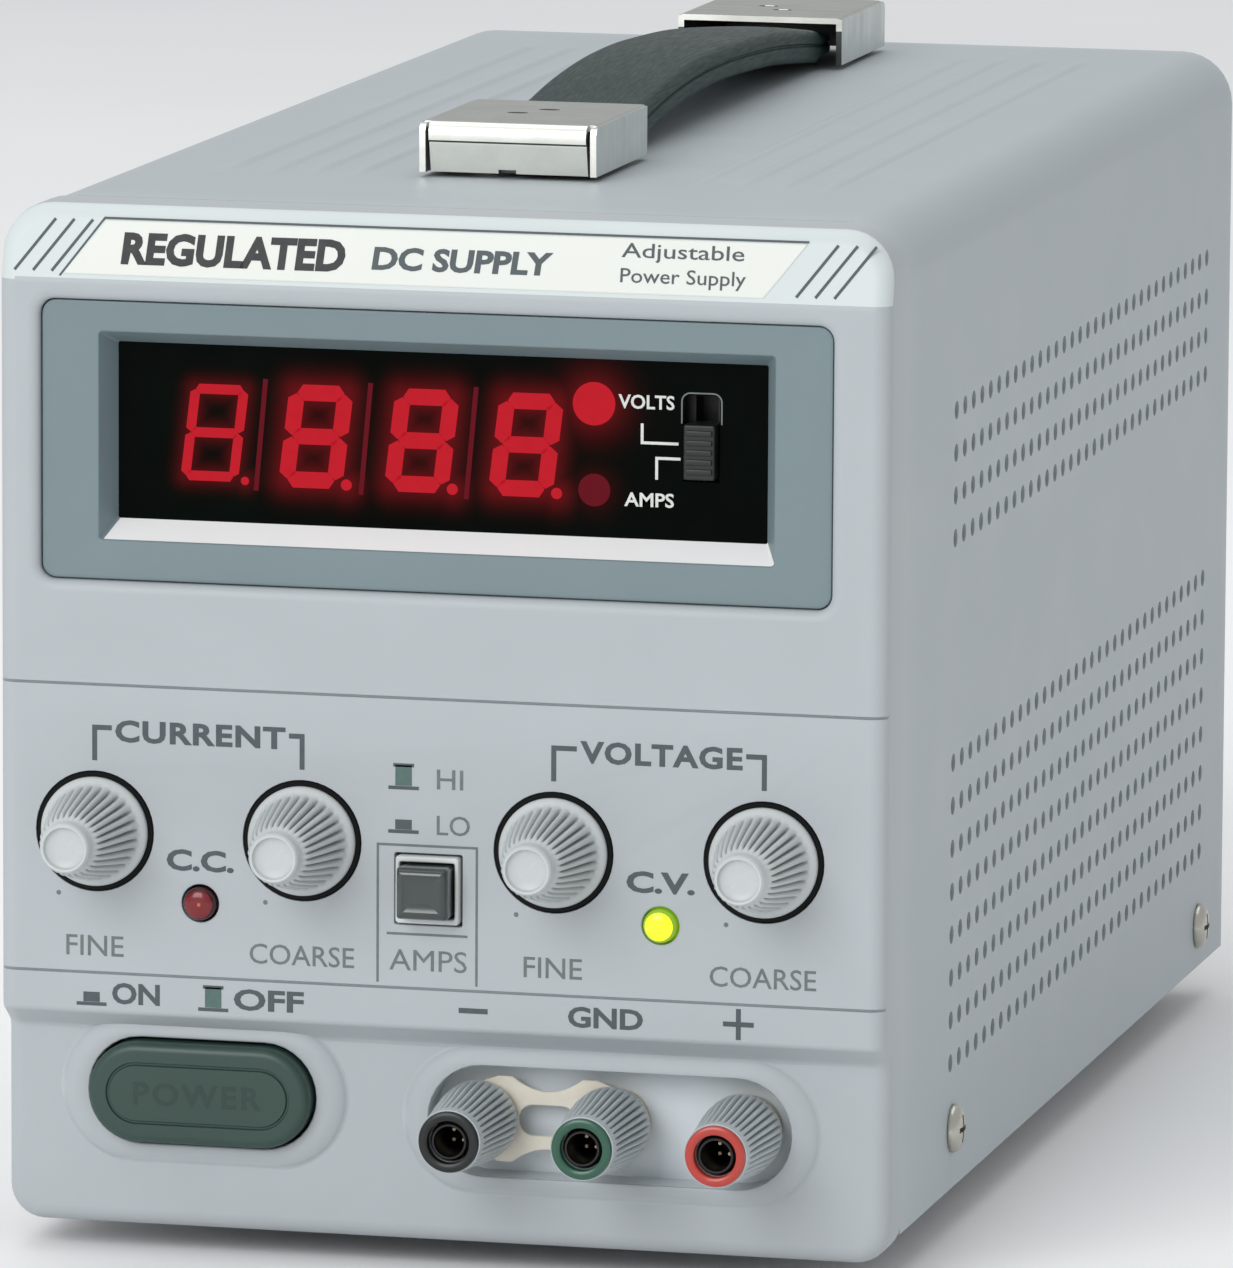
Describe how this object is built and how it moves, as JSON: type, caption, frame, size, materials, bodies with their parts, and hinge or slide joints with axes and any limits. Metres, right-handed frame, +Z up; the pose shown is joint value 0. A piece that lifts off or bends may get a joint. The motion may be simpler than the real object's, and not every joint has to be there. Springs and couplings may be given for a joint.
{
  "type": "bench power supply",
  "caption": "Tall narrow bench power supply with a recessed numeric display, control knobs, push buttons, screw-down output terminals, a strap handle and a finned heat sink at the back.",
  "frame": {"origin": "bottom centre of the bounding box, on the surface that the feet stand on", "axes": "+X to the right seen from the front, +Y towards the back, +Z up; the front panel faces -Y"},
  "size_m": [0.1312, 0.285, 0.1598],
  "materials": {
    "bezel_plastic": "light grey moulded ABS, fine texture",
    "label_film": "white printed label film",
    "display_frame": "blue-grey moulded plastic",
    "smoked_window": "dark smoked acrylic",
    "digits": "red numeric display in a dark carrier",
    "circuit_board": "green circuit board",
    "steel": "plated steel",
    "cover_paint": "light grey baked enamel on sheet steel",
    "black_plastic": "black moulded plastic",
    "knob_plastic": "light grey moulded plastic",
    "red_lens": "red lamp lens",
    "yellow_lens": "yellow-green lamp lens, lit",
    "dark_button": "dark grey push button",
    "power_button": "dark green push button",
    "brass": "plated brass",
    "link_metal": "pale tinned metal strip",
    "nickel": "nickel-plated steel",
    "strap_rubber": "dark grey rubber strap",
    "foot_rubber": "black rubber",
    "black_alloy": "black anodised aluminium",
    "core_steel": "varnished laminated core",
    "coil_copper": "enamelled copper winding",
    "capacitor_sleeve": "blue sleeved aluminium can"
  },
  "bodies": {
    "case": {"front_bezel": "bezel_plastic", "label_plate": "label_film", "display_frame": "display_frame", "display_window": "smoked_window", "digit_display": "digits", "meter_board": "circuit_board", "meter_switch": "steel", "potentiometer_1": "steel", "potentiometer_2": "steel", "potentiometer_3": "steel", "potentiometer_4": "steel", "control_board": "circuit_board", "cc_lamp": "red_lens", "cv_lamp": "yellow_lens", "amps_surround": "knob_plastic", "amps_switch": "black_plastic", "power_switch": "black_plastic", "post_black": "brass", "post_green": "brass", "post_red": "brass", "shorting_link": "link_metal", "top_cover": "cover_paint", "base_chassis": "steel", "rear_panel": "cover_paint", "heat_sink": "black_alloy", "mains_inlet": "black_plastic", "voltage_selector": "black_plastic", "handle_cap_front": "nickel", "handle_cap_rear": "nickel", "side_screw_left_1": "nickel", "foot_left_1": "foot_rubber", "side_screw_left_2": "nickel", "foot_left_2": "foot_rubber", "side_screw_right_1": "nickel", "foot_right_1": "foot_rubber", "side_screw_right_2": "nickel", "foot_right_2": "foot_rubber", "transformer_core": "core_steel", "transformer_coil": "coil_copper", "main_board": "circuit_board", "filter_capacitor_1": "capacitor_sleeve", "filter_capacitor_2": "capacitor_sleeve", "bridge_rectifier": "black_plastic"},
    "current_fine_knob": {"knob_1": "knob_plastic"},
    "current_coarse_knob": {"knob_2": "knob_plastic"},
    "voltage_fine_knob": {"knob_3": "knob_plastic"},
    "voltage_coarse_knob": {"knob_4": "knob_plastic"},
    "amps_button": {"amps_button": "dark_button"},
    "power_button": {"power_button": "power_button"},
    "meter_slider": {"meter_slider": "black_plastic"},
    "washer_black": {"washer_black": "nickel"},
    "nut_black": {"nut_black": "knob_plastic"},
    "washer_green": {"washer_green": "nickel"},
    "nut_green": {"nut_green": "knob_plastic"},
    "washer_red": {"washer_red": "nickel"},
    "nut_red": {"nut_red": "knob_plastic"},
    "strap_front": {"strap_front": "strap_rubber"},
    "strap_rear": {"strap_rear": "strap_rubber"},
    "fuse_cap": {"fuse_cap": "black_plastic"},
    "selector_slider": {"selector_slider": "red_lens"}
  },
  "joints": [
    {"name": "current_fine_turn", "type": "hinge", "parent": "case", "child": "current_fine_knob", "pos_m": [-0.0499, -0.135, 0.0611], "axis": [0, 1, 0], "range_deg": [-150, 150]},
    {"name": "current_coarse_turn", "type": "hinge", "parent": "case", "child": "current_coarse_knob", "pos_m": [-0.0197, -0.135, 0.0611], "axis": [0, 1, 0], "range_deg": [-150, 150]},
    {"name": "voltage_fine_turn", "type": "hinge", "parent": "case", "child": "voltage_fine_knob", "pos_m": [0.0166, -0.135, 0.0611], "axis": [0, 1, 0], "range_deg": [-150, 150]},
    {"name": "voltage_coarse_turn", "type": "hinge", "parent": "case", "child": "voltage_coarse_knob", "pos_m": [0.0467, -0.135, 0.0611], "axis": [0, 1, 0], "range_deg": [-150, 150]},
    {"name": "amps_push", "type": "slide", "parent": "case", "child": "amps_button", "axis": [0, 1, 0], "range_m": [0, 0.003], "stiffness_N_per_m": 250},
    {"name": "power_push", "type": "slide", "parent": "case", "child": "power_button", "axis": [0, 1, 0], "range_m": [0, 0.0032], "stiffness_N_per_m": 400},
    {"name": "meter_select", "type": "slide", "parent": "case", "child": "meter_slider", "axis": [0, 0, 1], "range_m": [0, 0.0034]},
    {"name": "black_nut_travel", "type": "slide", "parent": "case", "child": "washer_black", "axis": [0, -1, 0], "range_m": [0, 0.0049]},
    {"name": "black_nut_turn", "type": "hinge", "parent": "washer_black", "child": "nut_black", "pos_m": [0.00515, -0.132, 0.022], "axis": [0, -1, 0], "range_deg": [0, 2160]},
    {"name": "green_nut_travel", "type": "slide", "parent": "case", "child": "washer_green", "axis": [0, -1, 0], "range_m": [0, 0.0049]},
    {"name": "green_nut_turn", "type": "hinge", "parent": "washer_green", "child": "nut_green", "pos_m": [0.0242, -0.132, 0.022], "axis": [0, -1, 0], "range_deg": [0, 2160]},
    {"name": "red_nut_travel", "type": "slide", "parent": "case", "child": "washer_red", "axis": [0, -1, 0], "range_m": [0, 0.0049]},
    {"name": "red_nut_turn", "type": "hinge", "parent": "washer_red", "child": "nut_red", "pos_m": [0.04325, -0.132, 0.022], "axis": [0, -1, 0], "range_deg": [0, 2160]},
    {"name": "strap_lift", "type": "hinge", "parent": "case", "child": "strap_front", "pos_m": [-0.0018, -0.0485, 0.1534], "axis": [1, 0, 0], "range_deg": [0, 12]},
    {"name": "strap_bend", "type": "hinge", "parent": "strap_front", "child": "strap_rear", "pos_m": [-0.0018, 0.0146, 0.15425], "axis": [1, 0, 0], "range_deg": [-24.1, 0]},
    {"name": "fuse_cap_turn", "type": "hinge", "parent": "case", "child": "fuse_cap", "pos_m": [-0.006, 0.123, 0.029], "axis": [0, 1, 0], "range_deg": [0, 90]},
    {"name": "voltage_select", "type": "slide", "parent": "case", "child": "selector_slider", "axis": [1, 0, 0], "range_m": [0, 0.0074]}
  ],
  "couplings": [
    {"joint": "black_nut_travel", "follows": "black_nut_turn", "m_per_rad": 0.00012732},
    {"joint": "green_nut_travel", "follows": "green_nut_turn", "m_per_rad": 0.00012732},
    {"joint": "red_nut_travel", "follows": "red_nut_turn", "m_per_rad": 0.00012732},
    {"joint": "strap_bend", "follows": "strap_lift", "ratio": -2}
  ]
}
